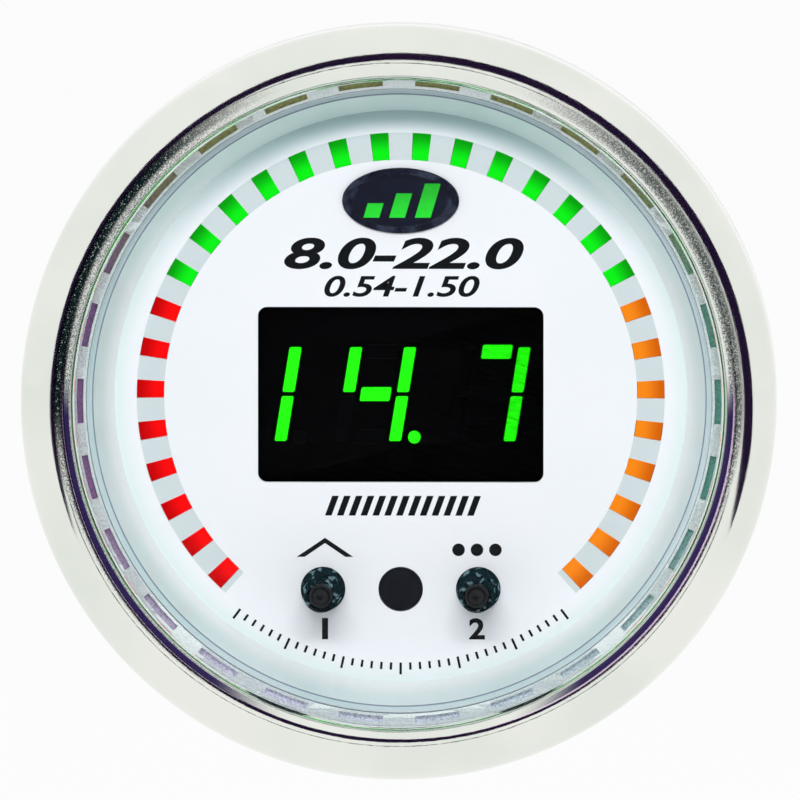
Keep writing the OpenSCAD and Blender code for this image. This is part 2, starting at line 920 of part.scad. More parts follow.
module capacitors() {
    neck_z = control_board_z + capacitor_base_h;
    color("silver") facing()
        for (side = [-1, 1])
            translate([side * capacitor_place[0], capacitor_place[1], 0]) {
                plate(2 * capacitor_r, 2 * capacitor_r, control_board_z, neck_z);
                rod(capacitor_r - capacitor_groove, neck_z, neck_z + capacitor_groove);
                rod(capacitor_r, neck_z + capacitor_groove, control_board_z + capacitor_h);
            }
}

module board_header() {
    color([0.1, 0.1, 0.1]) facing() translate([0, header_y, 0]) {
        plate(header_w, header_d, display_board_rear_z - header_socket_h, display_board_rear_z);
        plate(header_w, header_d, control_board_z, control_board_z + header_strip_h);
        for (row = [-1, 1])
            for (i = [0:header_pins - 1])
                translate([(i - (header_pins - 1) / 2) * header_pitch, row * header_pitch / 2, 0])
                    plate(header_pin_w, header_pin_w, control_board_z, display_board_rear_z);
    }
}

module board_spacers() {
    color("khaki") facing() at_posts()
        tube(spacer_tube_r, screw_r + screw_room, control_board_z, display_board_rear_z);
}

module board_screws() {
    color("silver") facing() at_posts()
        difference() {
            union() {
                rod(screw_head_r, block_rear_z, block_rear_z + screw_head_h);
                rod(screw_r, control_board_rear_z - screw_bite, block_rear_z);
            }
            layer(block_rear_z + screw_head_h / 2, block_rear_z + screw_head_h + over)
                square([2 * screw_head_r + over, screw_slot_w], center = true);
        }
}

// Case: a moulded cup with a rim for the bezel, posts for the boards and holes in its rear wall
module case_shell() {
    difference() {
        union() {
            round_backed(case_r, case_round, case_rear_z, 0);
            rod(case_r - neck_depth, 0, rim_z);
            rod(rim_r, rim_z, rim_front_z);
        }
        rod(case_in_r, case_floor_z, rim_front_z + over);
    }
}

module case_cup() {
    wall_low = case_rear_z - over;
    wall_high = case_floor_z + over;
    color([0.13, 0.13, 0.14]) facing()
        difference() {
            union() {
                case_shell();
                at_posts() rod(post_r, case_floor_z, control_board_rear_z);
            }
            at_posts()
                rod(screw_r + screw_fit, control_board_rear_z - screw_bite - screw_tip_room,
                    control_board_rear_z + over);
            at_studs() rod(stud_r + stud_hole_fit, wall_low, wall_high);
            translate([0, socket_y, 0])
                rounded_plate(shroud_w + 2 * shroud_fit, shroud_h + 2 * shroud_fit,
                    shroud_round + shroud_fit, wall_low, wall_high);
        }
}

// Ramp on top of the shroud that a plug's latch snaps over
module latch() {
    outline = [[0, 0], [latch_len, 0], [latch_len, latch_h]];
    translate([-latch_w / 2, shroud_h / 2, shroud_end_z + latch_back])
        rotate([90, 0, 90]) linear_extrude(latch_w) mirror([1, -1]) polygon(outline);
}

module socket_shroud() {
    base_w = shroud_w - 2 * socket_base_inset;
    base_h = shroud_h - 2 * socket_base_inset;
    color([0.1, 0.1, 0.11]) facing()
        difference() {
            translate([0, socket_y, 0])
                difference() {
                    union() {
                        rounded_plate(shroud_w, shroud_h, shroud_round, shroud_end_z,
                            gasket_top_z);
                        rounded_plate(shroud_w + 2 * flange_lap, shroud_h + 2 * flange_lap,
                            shroud_round + flange_lap, gasket_top_z, socket_flange_z);
                        rounded_plate(base_w, base_h, shroud_round, socket_flange_z,
                            control_board_rear_z);
                        latch();
                    }
                    rounded_plate(shroud_w - 2 * shroud_wall, shroud_h - 2 * shroud_wall,
                        shroud_round - shroud_wall / 2, shroud_end_z - over, socket_floor_z);
                }
            at_terminals()
                rod(terminal_r + terminal_fit, socket_floor_z - over, control_board_rear_z + over);
        }
}

module socket_gasket() {
    color("dimgray") facing() translate([0, socket_y, 0])
        difference() {
            rounded_plate(shroud_w + 2 * flange_lap, shroud_h + 2 * flange_lap,
                shroud_round + flange_lap, case_floor_z, gasket_top_z);
            rounded_plate(shroud_w + 2 * shroud_fit, shroud_h + 2 * shroud_fit,
                shroud_round + shroud_fit, case_floor_z - over, gasket_top_z + over);
        }
}

module socket_terminals() {
    outline = [
        [0, control_board_z + tail_out],
        [0, terminal_end_z],
        [terminal_r - terminal_point, terminal_end_z],
        [terminal_r, terminal_end_z + terminal_point],
        [terminal_r, control_board_rear_z],
        [tail_r, control_board_rear_z],
        [tail_r, control_board_z + tail_out]
    ];
    color("gold") facing() at_terminals() rotate_extrude() polygon(outline);
}

module mounting_studs() {
    outline = [
        [0, case_floor_z + stud_head_t],
        [0, stud_end_z],
        [stud_r - stud_point, stud_end_z],
        [stud_r, stud_end_z + stud_point],
        [stud_r, case_floor_z],
        [stud_head_r, case_floor_z],
        [stud_head_r, case_floor_z + stud_head_t]
    ];
    color("silver") facing() at_studs() rotate_extrude() polygon(outline);
}

module stud_nuts() {
    color("silver") facing() at_studs()
        difference() {
            translate([0, 0, case_rear_z - stud_nut_t])
                cylinder(r = stud_nut_af / 2 / cos(180 / nut_sides), h = stud_nut_t, $fn = nut_sides);
            rod(stud_r + nut_fit, case_rear_z - stud_nut_t - over, case_rear_z + over);
        }
}

// Bracket: a U-shaped strap whose legs follow the case, cut from one deep cup
module mounting_bracket() {
    bend_r = leg_out_r - bend_round;
    bend_z = strap_rear_z + bend_round;
    color("slategray") facing()
        difference() {
            intersection() {
                rotate_extrude() {
                    translate([0, strap_rear_z]) square([bend_r, strap_t]);
                    translate([leg_in_r, bend_z]) square([strap_t, foot_z - bend_z]);
                    translate([bend_r, bend_z]) quarter(bend_round, strap_t, -90);
                }
                plate(2 * leg_out_r + over, strap_w, strap_rear_z - over, foot_z + over);
            }
            at_studs() rod(stud_r + stud_slide_fit, strap_rear_z - over, strap_front_z + over);
        }
}

module lock_washers() {
    color("silver") facing() at_studs()
        difference() {
            tube(washer_r, stud_r + stud_slide_fit, washer_rear_z, strap_rear_z);
            translate([0, washer_r / 2, 0])
                plate(washer_split, washer_r, washer_rear_z - over, strap_rear_z + over);
        }
}

// Knurled thumb nut with a plain collar against the washer
module thumb_nut() {
    collar_low = washer_rear_z - thumb_collar_t;
    knurl = [for (i = [0:2 * knurls - 1]) let (
        a = 180 * i / knurls,
        r = i % 2 == 0 ? thumb_r : thumb_r - knurl_depth
    ) r * [cos(a), sin(a)]];
    body = [
        [0, thumb_rear_z],
        [thumb_r - thumb_chamfer, thumb_rear_z],
        [thumb_r + thumb_chamfer, thumb_rear_z + 2 * thumb_chamfer],
        [thumb_r + thumb_chamfer, collar_low - 2 * thumb_chamfer],
        [thumb_r - thumb_chamfer, collar_low],
        [thumb_collar_r, collar_low],
        [thumb_collar_r, washer_rear_z],
        [0, washer_rear_z]
    ];
    color("goldenrod")
        difference() {
            intersection() {
                rotate_extrude() polygon(body);
                layer(thumb_rear_z - over, washer_rear_z + over) polygon(knurl);
            }
            rod(stud_r + nut_fit, thumb_rear_z - over, washer_rear_z + over);
        }
}

module thumb_nut_a() {
    facing() translate([-stud_x, 0, 0]) thumb_nut();
}

module thumb_nut_b() {
    facing() translate([stud_x, 0, 0]) thumb_nut();
}

bezel();
lens_seal();
lens();
lens_spacer();
reflector_ring();
dial();
badge_window();
sensor_window();
display_filter();
light_block();
green_diffusers();
red_diffusers();
amber_diffusers();
display_module();
lit_segments();
unlit_segments();
ring_leds();
badge_leds();
light_sensor();
button_a();
button_b();
actuator_a();
actuator_b();
tact_switches();
display_board();
display_driver();
board_header();
control_board();
controller_chip();
regulator();
capacitors();
board_spacers();
board_screws();
case_cup();
socket_shroud();
socket_terminals();
socket_gasket();
mounting_studs();
stud_nuts();
mounting_bracket();
lock_washers();
thumb_nut_a();
thumb_nut_b();
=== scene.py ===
import math

import bmesh
import bpy
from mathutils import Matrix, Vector
from mathutils.geometry import tessellate_polygon


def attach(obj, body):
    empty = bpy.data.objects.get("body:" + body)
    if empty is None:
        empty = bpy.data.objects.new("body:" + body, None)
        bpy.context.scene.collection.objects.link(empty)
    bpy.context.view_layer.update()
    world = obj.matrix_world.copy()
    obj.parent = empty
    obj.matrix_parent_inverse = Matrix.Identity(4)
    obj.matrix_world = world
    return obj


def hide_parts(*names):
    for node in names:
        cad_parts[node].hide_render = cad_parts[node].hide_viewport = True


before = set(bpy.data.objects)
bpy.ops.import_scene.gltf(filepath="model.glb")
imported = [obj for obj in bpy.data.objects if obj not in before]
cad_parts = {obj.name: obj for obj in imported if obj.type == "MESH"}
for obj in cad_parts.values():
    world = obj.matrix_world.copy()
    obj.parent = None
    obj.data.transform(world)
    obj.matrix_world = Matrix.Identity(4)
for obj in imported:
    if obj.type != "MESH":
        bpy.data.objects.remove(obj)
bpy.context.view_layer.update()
print("frame loaded:", len(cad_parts), "nodes")

mm = 0.001

# Heights out from the panel and radii about the gauge's axis, in millimetres, as the solids have them
gauge = {
    "bezelRadius": 28.6,
    "bezelInside": 27.8,
    "bezelRoll": 26.1,
    "rearRound": 0.4,
    "sheet": 0.8,
    "crestRadius": 25.9,
    "crestHeight": 8.0,
    "crestRound": 2.7,
    "lipRound": 1.43,
    "lipEdge": 6.0,
    "lensRadius": 27.58,
    "lensRear": 3.8,
    "lensFront": 5.6,
    "dialFace": -2.4,
    "dialRear": -3.2,
    "windowInside": 17.97,
    "windowOutside": 20.06,
    "buttonX": 5.9,
    "buttonY": -14.7,
    "badgeY": 14.87,
}


def tone(red, green, blue):  # an sRGB colour, 0 to 255, as the shaders take it
    parts = [c / 255 for c in (red, green, blue)]
    return tuple(c / 12.92 if c <= 0.04045 else ((c + 0.055) / 1.055) ** 2.4 for c in parts) + (1.0,)


black = tone(0, 0, 0)


# Shader tools: Wire is a socket that sums can be written on, Paint is one material's nodes
class Wire:
    def __init__(self, paint, socket):
        self.paint = paint
        self.socket = socket

    def worked(self, operation, first, second=None, clamped=False):
        values = {0: first} if second is None else {0: first, 1: second}
        return self.paint.node("ShaderNodeMath", {"operation": operation, "use_clamp": clamped}, values)

    def other(self, outlet):
        return Wire(self.paint, self.socket.node.outputs[outlet])

    def __add__(self, value):
        return self.worked("ADD", self, value)

    __radd__ = __add__

    def __sub__(self, value):
        return self.worked("SUBTRACT", self, value)

    def __rsub__(self, value):
        return self.worked("SUBTRACT", value, self)

    def __mul__(self, value):
        return self.worked("MULTIPLY", self, value)

    __rmul__ = __mul__

    def __truediv__(self, value):
        return self.worked("DIVIDE", self, value)

    def __abs__(self):
        return self.worked("ABSOLUTE", self)

    def __pow__(self, value):
        return self.worked("POWER", self, value)

    def clamp(self):
        return self.worked("ADD", self, 0.0, clamped=True)

    def rise(self, low, high):  # 0 below low, 1 above high
        return self.paint.node(
            "ShaderNodeMapRange",
            {"interpolation_type": "SMOOTHSTEP"},
            {"Value": self, "From Min": low, "From Max": high},
        )

    def fall(self, low, high):
        return 1 - self.rise(low, high)


class Paint:
    def __init__(self, name, tree=None):
        self.material = None
        if tree is None:
            self.material = bpy.data.materials.new(name)
            self.material.use_nodes = True
            tree = self.material.node_tree
        self.tree = tree
        self.tree.nodes.clear()
        self.spots = None

    def node(self, kind, settings=None, values=None, outlet=0):
        made = self.tree.nodes.new(kind)
        for key, setting in (settings or {}).items():
            if key == "stops":
                stops = made.color_ramp.elements
                for place, colour in setting[1:-1]:
                    stops.new(place)
                for stop, (place, colour) in zip(stops, setting):
                    stop.position = place
                    stop.color = colour
            else:
                setattr(made, key, setting)
        for key, value in (values or {}).items():
            if isinstance(value, Wire):
                self.tree.links.new(value.socket, made.inputs[key])
            else:
                made.inputs[key].default_value = value
        return Wire(self, made.outputs[outlet])

    def spot(self):  # place on the object, in metres
        if self.spots is None:
            self.spots = self.node("ShaderNodeTexCoord", outlet="Object")
        return self.spots

    def axes(self):
        apart = self.node("ShaderNodeSeparateXYZ", values={0: self.spot()})
        return apart, apart.other(1), apart.other(2)

    def ring(self, x, z):  # distance from an axis through the origin, along y
        return (x * x + z * z) ** 0.5

    def turn(self, x, z):  # 0 at the top, clockwise to 1
        angle = x.worked("ARCTAN2", x, z) / (2 * math.pi)
        return angle.worked("FRACT", angle + 1)

    def noise(self, size, detail=2.0, rough=0.5, place=None):  # size is a bump's size in metres
        return self.node(
            "ShaderNodeTexNoise",
            values={"Vector": place or self.spot(), "Scale": 1 / size, "Detail": detail, "Roughness": rough},
        )

    def stretched(self, x, y, z):
        return self.node("ShaderNodeVectorMath", {"operation": "MULTIPLY"}, {0: self.spot(), 1: (x, y, z)})

    def mix(self, share, first, second):  # of two colours
        return self.node("ShaderNodeMix", {"data_type": "RGBA"}, {0: share, 6: first, 7: second}, 2)

    def bump(self, height, depth, under=None):
        values = {"Strength": 1.0, "Distance": depth, "Height": height}
        if under is not None:
            values["Normal"] = under
        return self.node("ShaderNodeBump", values=values)

    def surface(self, values):
        self.show(self.node("ShaderNodeBsdfPrincipled", values=values))
        return self.material

    def show(self, shader):
        outlet = self.tree.nodes.new("ShaderNodeOutputMaterial")
        self.tree.links.new(shader.socket, outlet.inputs["Surface"])


def dress(material, *nodes):  # gives CAD nodes a finish
    for name in nodes:
        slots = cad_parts[name].data.materials
        slots.clear()
        slots.append(material)


# Shape tools: meshes in the gauge's own millimetres
def facePoint(x, y, z):  # from the gauge's face, x right, y up, z out, in millimetres
    return Vector((x * mm, -z * mm, y * mm))


def placePiece(name, points, faces, material, slot, body="gauge", replaced=(), sharp=32):
    mesh = bpy.data.meshes.new(name)
    mesh.from_pydata(points, [], faces)
    mesh.materials.append(material)
    mesh.validate()
    piece = bpy.data.objects.new(name, mesh)
    bpy.context.scene.collection.objects.link(piece)
    work = bmesh.new()
    work.from_mesh(mesh)
    bmesh.ops.recalc_face_normals(work, faces=work.faces)
    work.to_mesh(mesh)
    work.free()
    if sharp is not None:
        mesh.polygons.foreach_set("use_smooth", [True] * len(mesh.polygons))
        mesh.set_sharp_from_angle(angle=math.radians(sharp))
    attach(piece, body)
    if replaced:
        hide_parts(*replaced)


def arcPoints(centreR, centreZ, radius, start, end, steps):
    return [
        (centreR + radius * math.cos(math.radians(a)), centreZ + radius * math.sin(math.radians(a)))
        for a in (start + (end - start) * i / steps for i in range(steps + 1))
    ]


def turned(name, profile, material, segments, centre=(0, 0), **more):  # turns a closed (radius, height) profile
    points, faces = [], []
    count = len(profile)
    for i in range(segments):
        a = 2 * math.pi * i / segments
        for r, z in profile:
            points.append(facePoint(centre[0] + r * math.cos(a), centre[1] + r * math.sin(a), z))
    for i in range(segments):
        for j in range(count):
            a, b = i * count, (i + 1) % segments * count
            k = (j + 1) % count
            faces.append((a + j, a + k, b + k, b + j))
    placePiece(name, points, faces, material, **more)


def plate(loops, low, high):  # points and faces of a plate, from loops of (x, y): its outline, then its holes
    flat = [p for loop in loops for p in loop]
    triangles = tessellate_polygon([[Vector((x, y, 0)) for x, y in loop] for loop in loops])
    points = [facePoint(x, y, low) for x, y in flat] + [facePoint(x, y, high) for x, y in flat]
    count = len(flat)
    faces = [(a, b, c) for a, b, c in triangles] + [(a + count, b + count, c + count) for a, b, c in triangles]
    start = 0
    for loop in loops:
        for i in range(len(loop)):
            a, b = start + i, start + (i + 1) % len(loop)
            faces.append((a, b, b + count, a + count))
        start += len(loop)
    return points, faces


def joined(parts):
    points, faces = [], []
    for somePoints, someFaces in parts:
        start = len(points)
        points += somePoints
        faces += [tuple(start + i for i in face) for face in someFaces]
    return points, faces


def circle(x, y, radius, steps):
    return [
        (x + radius * math.cos(2 * math.pi * i / steps), y + radius * math.sin(2 * math.pi * i / steps))
        for i in range(steps)
    ]


# Bezel: satin ring with fine turning lines and grain. Its inner slope carries painted reflections: a dark
# stripe on the upper part, darker left and right sides broken up by grain, and a violet line with a pale
# magenta edge along the lower lip. Spans are in metres
bezelLook = {
    "metal": tone(234, 236, 229),
    "shade": tone(214, 222, 214),
    "dark": tone(40, 50, 58),
    "shadow": tone(14, 30, 32),
    "violet": tone(34, 14, 76),
    "fringe": tone(240, 196, 246),
    "roughness": 0.075,
    "lineSize": 0.00012,
    "lineDepth": 0.0000025,
    "grainSize": 0.00011,
    "grainDepth": 0.000011,
    "cloudSize": 0.012,
    "handledSize": 0.004,
    "frontSpan": (-0.0045, -0.004),
    "sideSpan": (0.3, 0.75),
    "upperSpan": (-0.006, 0.0),
    "lowerSpan": (-0.001, 0.003),
    "reflectedBandInside": (0.0251, 0.0255),
    "reflectedBandOutside": (0.02595, 0.0262),
    "reflectionLeft": (0.0247, 0.0249),
    "reflectionRight": (0.0250, 0.0252),
    "reflectionOutside": (0.0258, 0.0262),
    "narrowSpan": (-0.012, -0.002),
    "narrowBy": 0.0004,
    "lipSides": (0.00006, 0.0002),
    "lipInside": (0.02487, 0.02493),
    "lipOutside": (0.02532, 0.02538),
    "fringeInside": (0.02534, 0.0254),
    "fringeOutside": (0.02546, 0.02552),
}


def bezelFinish():
    look = bezelLook
    p = Paint("satinBezel")
    x, y, z = p.axes()
    r = p.ring(x, z)
    front = y.fall(*look["frontSpan"])
    left = (x / r * -1).rise(*look["sideSpan"]) * front
    right = (x / r).rise(*look["sideSpan"]) * front
    upper = z.rise(*look["upperSpan"])
    lower = z.fall(*look["lowerSpan"]) * front
    # painted reflection: a dark stripe on the upper inner slope, stronger at the left
    reflectedBand = (left + right * 0.6) * upper * r.rise(*look["reflectedBandInside"]) * r.fall(*look["reflectedBandOutside"])
    # painted reflection: the inner slope darker at left and right, broken up by grain, which also bumps this
    # zone
    reflectionAndGrain = left * r.rise(*look["reflectionLeft"]) + right * r.rise(*look["reflectionRight"])
    narrowed = r + z.fall(*look["narrowSpan"]) * look["narrowBy"]
    reflectionAndGrain = reflectionAndGrain * narrowed.fall(*look["reflectionOutside"])
    # painted reflection: a violet line along the lower lip, with a pale magenta edge just outside it
    lip = lower * (x ** 2).rise(*look["lipSides"]) * r.rise(*look["lipInside"]) * r.fall(*look["lipOutside"])
    fringe = lower * r.rise(*look["fringeInside"]) * r.fall(*look["fringeOutside"])
    across = p.node("ShaderNodeCombineXYZ", values={0: x / r * 0.004, 1: y, 2: r})
    lines = p.noise(look["lineSize"], 3.0, 0.6, across)
    grain = p.noise(look["grainSize"], 2.0, 0.7)
    cloud = p.noise(look["cloudSize"], 3.0, 0.55)
    handled = p.noise(look["handledSize"], 4.0, 0.6)
    colour = p.mix(cloud.rise(0.35, 0.7) * 0.5, look["metal"], look["shade"])
    colour = p.mix((reflectionAndGrain * (0.75 - grain.rise(0.46, 0.56) * 0.7)).clamp(), colour, look["dark"])
    colour = p.mix((reflectedBand * (1.0 - grain.rise(0.6, 0.66) * 0.6)).clamp(), colour, look["shadow"])
    colour = p.mix(lip * 0.97, colour, look["violet"])
    colour = p.mix(fringe * 0.6, colour, look["fringe"])
    rough = look["roughness"] + (lines - 0.5) * 0.05 + handled.rise(0.5, 0.75) * 0.03
    height = p.bump(lines, look["lineDepth"])
    height = p.bump(grain * reflectionAndGrain * (1.0 - lip), look["grainDepth"], under=height)
    return p.surface({"Base Color": colour, "Metallic": 1.0, "Roughness": rough, "Normal": height})


def makeBezel():
    g = gauge
    side = g["crestHeight"] - g["crestRound"]
    lip = g["crestHeight"] - g["lipRound"]
    r, crest, lipR = g["bezelRadius"], g["crestRadius"], g["crestRadius"] - g["lipRound"]
    ease = 0.08  # the lip's broken corner
    profile = [(g["bezelRoll"], 0.0)]
    profile += arcPoints(r - g["rearRound"], g["rearRound"], g["rearRound"], -90, 0, 6)
    profile += arcPoints(crest, side, g["crestRound"], 0, 90, 40)
    profile += arcPoints(crest, lip, g["lipRound"], 90, 180, 28)[1:]
    profile += [(lipR, g["lipEdge"] + ease), (lipR + ease, g["lipEdge"]), (lipR + g["sheet"], g["lipEdge"])]
    profile += arcPoints(crest, lip, g["lipRound"] - g["sheet"], 180, 90, 10)
    profile += arcPoints(crest, side, g["crestRound"] - g["sheet"], 90, 0, 14)[1:]
    profile += [(g["bezelInside"], g["sheet"]), (g["bezelRoll"], g["sheet"])]
    turned("bezelRing", profile, bezelFinish(), 360, slot="bezel", replaced=["bezel"])


makeBezel()
print("bezel turned")

# Lens and the two button guides moulded behind it
lensLook = {
    "clear": tone(244, 250, 250),
    "facing": 0.002,
    "edge": 0.9,
    "guide": tone(22, 42, 48),
    "guideHighlight": tone(118, 150, 158),
    "guideSpan": (-0.0036, -0.0005),
    "bore": 0.98,
    "guideTop": 1.36,
    "guideNeck": 1.29,
    "guideFoot": 1.63,
    "topGap": 0.01,
    "neckGap": 0.12,
}


def clearFinish():
    p = Paint("clearLens")
    slant = p.node("ShaderNodeLayerWeight", values={"Blend": 0.35}, outlet="Facing")
    haze = p.noise(0.006, 3.0, 0.6)
    alpha = lensLook["facing"] + slant ** 4 * lensLook["edge"]
    return p.surface(
        {
            "Base Color": lensLook["clear"],
            "Metallic": 1.0,
            "Roughness": 0.015 + haze.rise(0.5, 0.8) * 0.02,
            "Alpha": alpha.clamp(),
        }
    )


def guideFinish():
    p = Paint("guideMoulding")
    y = p.axes()[1]
    swirl = p.noise(0.0006)
    streak = p.noise(0.0005, 1.0, 0.5, p.stretched(1, 0.15, 1))
    # painted highlights: lighter streaks along the guides
    colour = p.mix(streak.rise(0.56, 0.66), lensLook["guide"], lensLook["guideHighlight"])
    return p.surface(
        {
            "Base Color": colour,
            "Roughness": 0.1 + swirl * 0.1,
            "Specular IOR Level": 0.0,
            "Alpha": 0.72 + y.rise(*lensLook["guideSpan"]) * 0.26,
        }
    )


def makeLens():
    g, look = gauge, lensLook
    bores = [circle(s * g["buttonX"], g["buttonY"], look["bore"], 48) for s in (-1, 1)]
    points, faces = plate([circle(0, 0, g["lensRadius"], 256)] + bores, g["lensRear"], g["lensFront"])
    placePiece("lensDisc", points, faces, clearFinish(), slot="lens", replaced=["lens"])
    finish = guideFinish()
    profile = [
        (look["bore"], g["lensRear"] - look["topGap"]),
        (look["guideTop"], g["lensRear"] - look["topGap"]),
        (look["guideNeck"], g["lensRear"] - look["neckGap"]),
        (look["guideFoot"], g["dialFace"]),
        (look["guideFoot"], g["dialRear"]),
        (look["bore"], g["dialRear"]),
    ]
    for side, name in ((-1, "buttonGuideA"), (1, "buttonGuideB")):
        turned(name, profile, finish, 48, (side * g["buttonX"], g["buttonY"]), slot="lens", replaced=["lens"])


makeLens()
print("lens and guides made")

# Ring under the lens: its castellation pockets carry painted refraction colours that change round the ring,
# flecked with painted shade on their floors, and the ring has a faint painted glow
spacerLook = {
    "land": tone(224, 234, 234),
    "fleck": tone(160, 172, 176),
    "pitShade": tone(60, 62, 60),
    "line": tone(50, 58, 84),
    "glow": 0.3,
    "pocketDepth": (-0.00375, -0.0036),
    "pocketInside": (0.02386, 0.0239),
    "wallSpan": (0.02371, 0.02374),
    "stops": [
        (0.0, tone(146, 150, 96)),
        (0.12, tone(148, 152, 100)),
        (0.2, tone(92, 148, 130)),
        (0.3, tone(80, 140, 130)),
        (0.42, tone(186, 200, 208)),
        (0.58, tone(196, 196, 214)),
        (0.7, tone(128, 94, 138)),
        (0.8, tone(120, 88, 134)),
        (0.9, tone(146, 150, 96)),
        (1.0, tone(146, 150, 96)),
    ],
}


def spacerFinish():
    look = spacerLook
    p = Paint("castellatedRing")
    x, y, z = p.axes()
    r = p.ring(x, z)
    # painted refraction colours, changing round the ring
    refractedTint = p.node("ShaderNodeValToRGB", {"stops": look["stops"]}, {0: p.turn(x, z)})
    flecks = p.noise(0.00018, 2.0, 0.6)
    pocket = y.rise(*look["pocketDepth"]) * r.rise(*look["pocketInside"])
    wall = r.fall(*look["wallSpan"])
    colour = p.mix(flecks.rise(0.35, 0.7) * 0.35, look["land"], look["fleck"])
    # pocket floors take those colours, flecked with painted shade
    colour = p.mix(pocket, colour, p.mix(flecks.rise(0.4, 0.7) * 0.5, refractedTint, look["pitShade"]))
    colour = p.mix(wall * 0.9, colour, look["line"])
    return p.surface(
        {
            "Base Color": colour,
            "Roughness": 0.3 + flecks * 0.25,
            # a faint painted glow lifts the ring out of the shade under the bezel lip
            "Emission Color": colour,
            "Emission Strength": look["glow"],
            "Normal": p.bump(flecks, 0.00001),
        }
    )


# White cone and white dial, with painted light and shade: the cone paler at its foot except at the top, a
# shaded step near its front, the dial blue green towards the rim, and a painted shadow on the dial under the
# top edge
whiteLook = {
    "cone": tone(224, 240, 241),
    "coneShade": tone(212, 234, 232),
    "foot": tone(250, 253, 254),
    "footSpan": (-0.0015, 0.0022),
    "groove": tone(132, 152, 170),
    "grooveLine": tone(74, 88, 122),
    "grooveInside": (0.02318, 0.02321),
    "grooveOutside": (0.02352, 0.02356),
    "grooveDepth": (-0.00279, -0.00277),
    "grooveLineSpan": (0.02328, 0.02332),
    "dial": tone(245, 247, 251),
    "dialCloud": tone(238, 242, 244),
    "dialSpeck": tone(214, 220, 226),
    "dialEdge": (0.0202, 0.0218),
    "shadow": tone(152, 184, 184),
    "shadowSpan": (0.0194, 0.0217),
    "track": tone(212, 222, 224),
    "trackHalf": 138.5,
    "trackEdge": 0.00003,
    "trackEnd": 0.0006,
}


def coneFinish():
    look = whiteLook
    p = Paint("whiteCone")
    fine = p.noise(0.0002)
    cloud = p.noise(0.009)
    x, y, z = p.axes()
    r = p.ring(x, z)
    groove = r.rise(*look["grooveInside"]) * r.fall(*look["grooveOutside"]) * y.rise(*look["grooveDepth"])
    colour = p.mix(cloud.rise(0.3, 0.7), look["cone"], look["coneShade"])
    # painted light and shade: the cone paler at its foot, except at the top, which stays darker
    top = (z / r).rise(0.55, 1.0)
    colour = p.mix(y.rise(*look["footSpan"]) * (0.9 - top * 0.9), colour, look["foot"])
    # painted shade on the narrow step near the cone's front edge, with a darker line inside it
    colour = p.mix(groove * 0.3, colour, look["groove"])
    colour = p.mix(groove * r.fall(*look["grooveLineSpan"]) * 0.7, colour, look["grooveLine"])
    return p.surface(
        {
            "Base Color": colour,
            "Roughness": 0.28 + fine * 0.12,
            "Normal": p.bump(fine, 0.000006),
        }
    )


def dialFinish():
    look = whiteLook
    p = Paint("whiteDial")
    x, y, z = p.axes()
    r = p.ring(x, z)
    fine = p.noise(0.00012, 3.0, 0.6)
    cloud = p.noise(0.007)
    offTop = 0.5 - abs(p.turn(x, z) - 0.5)
    inside, outside = gauge["windowInside"] * mm, gauge["windowOutside"] * mm
    half, edge = look["trackHalf"] / 360, look["trackEdge"]
    track = r.rise(inside - edge, inside + edge)
    track = track * r.fall(outside - edge, outside + edge)
    track = track * offTop.fall(half - look["trackEnd"], half)
    colour = p.mix(cloud.rise(0.3, 0.7) * 0.3, look["dial"], look["dialCloud"])
    # painted shade: blue green towards the rim, next to the cone's wall
    colour = p.mix(r.rise(*look["dialEdge"]) * 0.55, colour, look["coneShade"])
    colour = p.mix(track, colour, look["track"])
    top = (z / r).rise(0.5, 1.0)
    colour = p.mix(top * r.rise(*look["shadowSpan"]) * 0.85, colour, look["shadow"])
    colour = p.mix(fine.rise(0.62, 0.8) * 0.12, colour, look["dialSpeck"])
    return p.surface(
        {
            "Base Color": colour,
            "Roughness": 0.42 + fine * 0.15,
            "Specular IOR Level": 0.3,
            "Normal": p.bump(fine, 0.000004),
        }
    )


dress(spacerFinish(), "lens_spacer")
dress(coneFinish(), "reflector_ring")
dress(dialFinish(), "dial")

# Coloured windows of the ring: lit from behind, dimmer at the outer end
windowLook = {
    "green_diffusers": (tone(10, 244, 24), tone(6, 160, 14)),
    "red_diffusers": (tone(255, 8, 10), tone(196, 2, 6)),
    "amber_diffusers": (tone(252, 140, 24), tone(216, 100, 6)),
}
windowDim = (0.0184, 0.0200)  # radii over which they dim, in metres


def glowFinish(name, bright, dim):
    p = Paint(name)
    x, y, z = p.axes()
    speck = p.noise(0.00025)
    outer = (p.ring(x, z).rise(*windowDim) + (speck - 0.5) * 0.12).clamp()
    colour = p.mix(outer, bright, dim)
    return p.surface(
        {
            "Base Color": p.mix(0.96, colour, black),
            "Roughness": 0.3 + speck * 0.2,
            "Specular IOR Level": 0.05,
            "Emission Color": colour,
            "Emission Strength": 0.96,
        }
    )


for nodeName, (bright, dim) in windowLook.items():
    dress(glowFinish(nodeName.replace("_d", "D"), bright, dim), nodeName)

# Digital display: dark filter, lit and unlit segments
displayLook = {
    "lit": tone(26, 255, 0),
    "litDark": tone(16, 214, 6),
    "filter": tone(2, 2, 3),
    "dust": tone(5, 5, 7),
    "filterAlpha": 0.3,
    "unlit": (tone(12, 13, 15), tone(9, 10, 12)),
    "face": (tone(5, 5, 6), tone(8, 9, 10)),
}


def filterFinish():
    p = Paint("displayFilter")
    dust = p.noise(0.0008, 3.0, 0.6)
    return p.surface(
        {
            "Base Color": p.mix(dust.rise(0.5, 0.8) * 0.3, displayLook["filter"], displayLook["dust"]),
            "Roughness": 0.06 + dust * 0.06,
            "Specular IOR Level": 0.03,
            "Alpha": displayLook["filterAlpha"],
        }
    )


